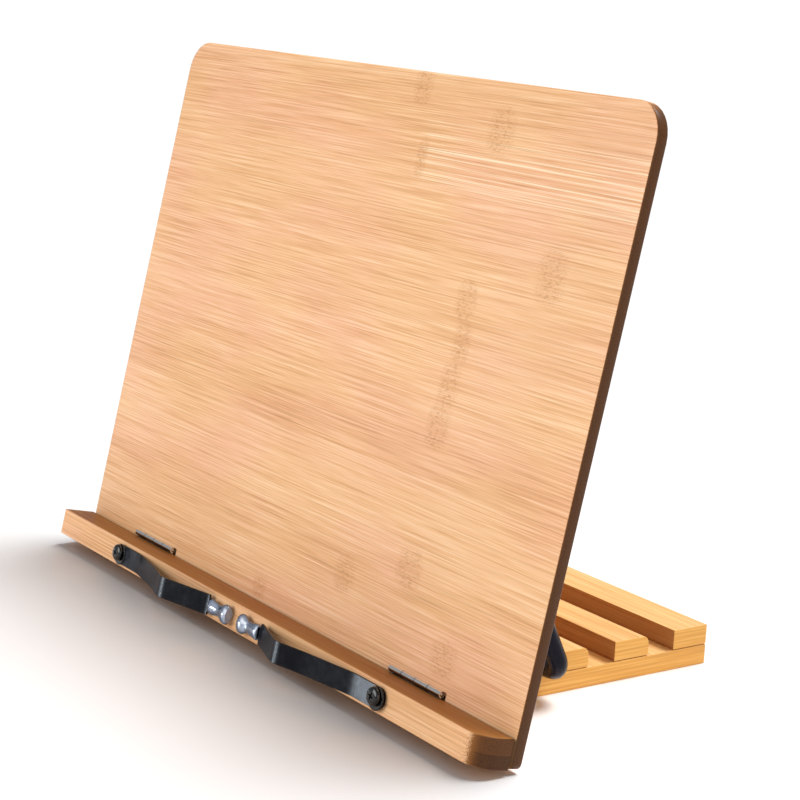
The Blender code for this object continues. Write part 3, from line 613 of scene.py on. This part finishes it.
def smooth_leg(finish):
    """The leg again, from a rounder rod on a finer path."""
    pivot = Vector(JOINTS["leg_swing"]["pos_m"])
    low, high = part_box("support_leg")
    down = Vector((0, high.y - LEG_ROD, low.z + LEG_ROD)) - pivot
    way = down.normalized()
    points = leg_path(down.length)
    curve = bpy.data.curves.new("leg_path", "CURVE")
    curve.dimensions = "3D"
    curve.bevel_depth = LEG_ROD
    curve.bevel_resolution = 8
    curve.use_fill_caps = True
    spline = curve.splines.new("POLY")
    spline.points.add(len(points) - 1)
    for point, (x, reach) in zip(spline.points, points):
        place = pivot + Vector((x, 0, 0)) + way * reach
        point.co = (*place, 1)
    holder = bpy.data.objects.new("leg_path", curve)
    bpy.context.scene.collection.objects.link(holder)
    bpy.context.view_layer.update()
    mesh = bpy.data.meshes.new_from_object(holder.evaluated_get(bpy.context.evaluated_depsgraph_get()))
    bpy.data.objects.remove(holder, do_unlink=True)
    return place_piece("support_leg_piece", mesh, finish, "support_leg", LEG_END_EASE, 4)


def cap_slot(side):
    """What the strip's tongue takes out of a cap."""
    slot = bmesh.new()
    bmesh.ops.create_cube(slot, size=1.0)
    for vert in slot.verts:
        x = side * (SLOT_START if vert.co.x < 0 else SLOT_END)
        vert.co = (x, vert.co.y * SLOT_THICKNESS, vert.co.z * SLOT_WIDTH)
    bmesh.ops.recalc_face_normals(slot, faces=slot.faces)
    return to_mesh(slot, "slot")


def cap_shape(node, side, finish):
    """A clear tip shaped like a spool, flatter against the page, with a slot for the tongue."""
    clip = Vector(JOINTS[f"clip_{node.split('_')[-1]}_swing"]["pos_m"])
    profile = [(radius * MM, share * CAP_LENGTH) for radius, share in zip(CAP_RADII, CAP_SHARES)]
    bm = lathe([(0, 0)] + profile + [(0, CAP_LENGTH)], CAP_STEPS)
    bm.transform(Matrix.Rotation(-pi / 2 * side, 4, "Z"))
    bm.transform(Matrix.Diagonal((1, CAP_FLATNESS, 1, 1)))
    mesh = cut(to_mesh(bm, f"{node}_turned"), [cap_slot(side)], f"{node}_cut")
    lean = Matrix.Rotation(-LEAN, 4, "X")
    place = Vector((clip.x + side * CAP_START, clip.y, clip.z)) + lean @ Vector((0, -CAP_OUT, 0))
    mesh.transform(Matrix.Translation(place) @ lean)
    return place_piece(f"{node}_piece", mesh, finish, node)


# ---------------------------------------------------------------- finishes and assembly

def make_finishes():
    return {
        "board": lacquered_bamboo("board_bamboo", BOARD_NODES, BOARD_TONES, BOARD_END),
        "ledge": lacquered_bamboo("ledge_bamboo", LEDGE_NODES, LEDGE_TONES, LEDGE_END,
                                  LEDGE_TOP_TONE_AND_SHADE, LEDGE_SEAM),
        "base": base_bamboo("base_bamboo"),
        "polished_steel": metal("polished_steel", (0.86, 0.84, 0.82), (0.97, 0.96, 0.94), 0.13,
                                (0.06, 5.0, 5.0), metallic=1.0, underside_shade=(0.10, 0.08, 0.07)),
        "strip": metal("black_strip", (0.0012, 0.0012, 0.0022), (0.0026, 0.0026, 0.0048), 0.23,
                       (0.10, 3.0, 3.0), wear=0.03, worn=(0.10, 0.11, 0.14), specular=0.08),
        "black_steel": metal("black_steel", (0.0025, 0.0025, 0.003), (0.006, 0.006, 0.007), 0.2,
                             (1.0, 1.0, 1.0), wear=0.05, worn=(0.14, 0.14, 0.16), coat=0.5,
                             specular=0.3),
        "black_rod": metal("black_rod", (0.0018, 0.0018, 0.006), (0.005, 0.005, 0.016), 0.16,
                           (0.4, 0.4, 0.4), specular=0.12),
        "clear_silicone": silicone("clear_silicone"),
    }


def dress_wood(finishes):
    refine("reading_board", finishes["board"])
    refine("ledge_bar", finishes["ledge"], WOOD_EASE)
    for number in range(1, 5):
        refine(f"base_slat_{number}", finishes["base"], WOOD_EASE)
    refine("base_board", finishes["base"], WOOD_EASE)


def dress_hinges(steel, word, back):
    for leaf in ("base_hinge_board_leaf", "base_hinge_base_leaf"):
        refine(f"{leaf}_{word}", steel, METAL_EASE)
    for leaf in ("ledge_hinge_board_leaf", "ledge_hinge_ledge_leaf"):
        refine(f"{leaf}_{word}", steel, LEDGE_LEAF_EASE)
    for pin in ("base_hinge_pin", "ledge_hinge_pin"):
        refine(f"{pin}_{word}", steel)
    for number in (1, 2):
        recessed_screw(f"base_hinge_board_screw_{word}_{number}", WOOD_SCREW, back, steel)
        recessed_screw(f"base_hinge_base_screw_{word}_{number}", WOOD_SCREW, (0, 0, -1), steel)
        refine(f"ledge_hinge_board_screw_{word}_{number}", steel)
        refine(f"ledge_hinge_ledge_screw_{word}_{number}", steel)


def dress_clip(finishes, word, side, front):
    black = finishes["black_steel"]
    refine(f"clip_strip_{word}", finishes["strip"], STRIP_EASE)
    refine(f"clip_washer_{word}", black, WASHER_EASE)
    recessed_screw(f"clip_screw_{word}", CLIP_SCREW, front, black)
    cap_shape(f"clip_cap_{word}", side, finishes["clear_silicone"])


def dress_saddle(black, word, back):
    refine(f"leg_saddle_{word}", black, METAL_EASE)
    for end in ("lower", "upper"):
        recessed_screw(f"leg_saddle_screw_{word}_{end}", WOOD_SCREW, back, black)


def dress(finishes):
    """A finer piece for every node.  Back and front are the ways that screws point into the board
    from behind and into the ledge from before it."""
    back = (0, -cos(LEAN), sin(LEAN))
    front = (0, cos(LEAN), -sin(LEAN))
    dress_wood(finishes)
    for side, word in ((1, "left"), (-1, "right")):
        dress_hinges(finishes["polished_steel"], word, back)
        dress_clip(finishes, word, side, front)
        dress_saddle(finishes["black_steel"], word, back)
    smooth_leg(finishes["black_rod"])


# ---------------------------------------------------------------- stage

def make_floor():
    mesh = bpy.data.meshes.new("floor")
    reach = FLOOR_REACH
    mesh.from_pydata([(-reach, -reach, 0), (reach, -reach, 0), (reach, reach, 0), (-reach, reach, 0)],
                     [], [(0, 1, 2, 3)])
    mesh.materials.append(floor_material())
    floor = bpy.data.objects.new("floor", mesh)
    bpy.context.scene.collection.objects.link(floor)


def make_world():
    world = bpy.data.worlds.new("studio")
    bpy.context.scene.world = world
    world.use_nodes = True
    tree = world.node_tree
    tree.nodes.clear()
    soft = put(tree, "ShaderNodeBackground", Color=SKY, Strength=SKY_STRENGTH)
    plain = put(tree, "ShaderNodeBackground", Color=(*WHITE, 1), Strength=1.0)
    ray = put(tree, "ShaderNodeLightPath").outputs["Is Camera Ray"]
    mixed = put(tree, "ShaderNodeMixShader", Fac=ray)
    tree.links.new(soft.outputs[0], mixed.inputs[1])
    tree.links.new(plain.outputs[0], mixed.inputs[2])
    output = put(tree, "ShaderNodeOutputWorld")
    tree.links.new(mixed.outputs[0], output.inputs["Surface"])


def add_area(name, place, target, size, power, colour):
    data = bpy.data.lights.new(name, "AREA")
    data.shape = "RECTANGLE"
    data.size, data.size_y = size
    data.energy = power
    data.color = colour
    light = bpy.data.objects.new(name, data)
    bpy.context.scene.collection.objects.link(light)
    light.location = place
    light.rotation_euler = (Vector(target) - Vector(place)).to_track_quat("-Z", "Y").to_euler()
    light.visible_camera = False
    return light


def make_lights():
    """The key light, and soft lights that fall on the stand or on the clips only, so that the floor
    keeps the key light's shadow.  The clips cast no shadow of the key light."""
    sun = bpy.data.lights.new("key", "SUN")
    sun.energy = KEY_STRENGTH
    sun.angle = KEY_SPREAD
    key = bpy.data.objects.new("key", sun)
    bpy.context.scene.collection.objects.link(key)
    key.rotation_euler = Vector(KEY_DIRECTION).to_track_quat("-Z", "Y").to_euler()
    stand = [thing for thing in bpy.context.scene.objects if thing.type == "MESH"]
    clips = [thing for thing in stand if thing.name.startswith(("clip_strip", "clip_cap"))]
    solid = [thing for thing in stand if not thing.name.startswith("clip_")]
    stand_group = group("stand", stand)
    clip_group = group("clips", clips)
    key.light_linking.blocker_collection = group("shade", solid)
    for light in (add_area("front", *FRONT), add_area("side", *SIDE)):
        light.light_linking.receiver_collection = stand_group
    for light in (add_area("gleam", *GLEAM), add_area("sweep", *SWEEP)):
        light.light_linking.receiver_collection = clip_group
        light.light_linking.blocker_collection = clip_group
        light.data.cycles.max_bounces = 0


def group(name, things):
    """A collection of these things, for a light's links."""
    made = bpy.data.collections.new(name)
    for thing in things:
        made.objects.link(thing)
    return made


def make_camera():
    data = bpy.data.cameras.new("camera")
    data.lens = CAMERA_LENS
    data.sensor_width = CAMERA_SENSOR
    data.clip_start, data.clip_end = CAMERA_REACH
    camera = bpy.data.objects.new("camera", data)
    bpy.context.scene.collection.objects.link(camera)
    across = cos(CAMERA_ELEVATION)
    back = Vector((sin(CAMERA_AZIMUTH) * across, -cos(CAMERA_AZIMUTH) * across, sin(CAMERA_ELEVATION)))
    level = (-back).to_track_quat("-Z", "Y").to_matrix().to_4x4()
    camera.matrix_world = Matrix.Translation(CAMERA_PLACE) @ level @ Matrix.Rotation(CAMERA_ROLL, 4, "Z")
    bpy.context.scene.camera = camera


def main():
    bpy.context.scene.view_settings.view_transform = "Standard"
    dress(make_finishes())
    make_world()
    make_lights()
    make_floor()
    make_camera()


main()
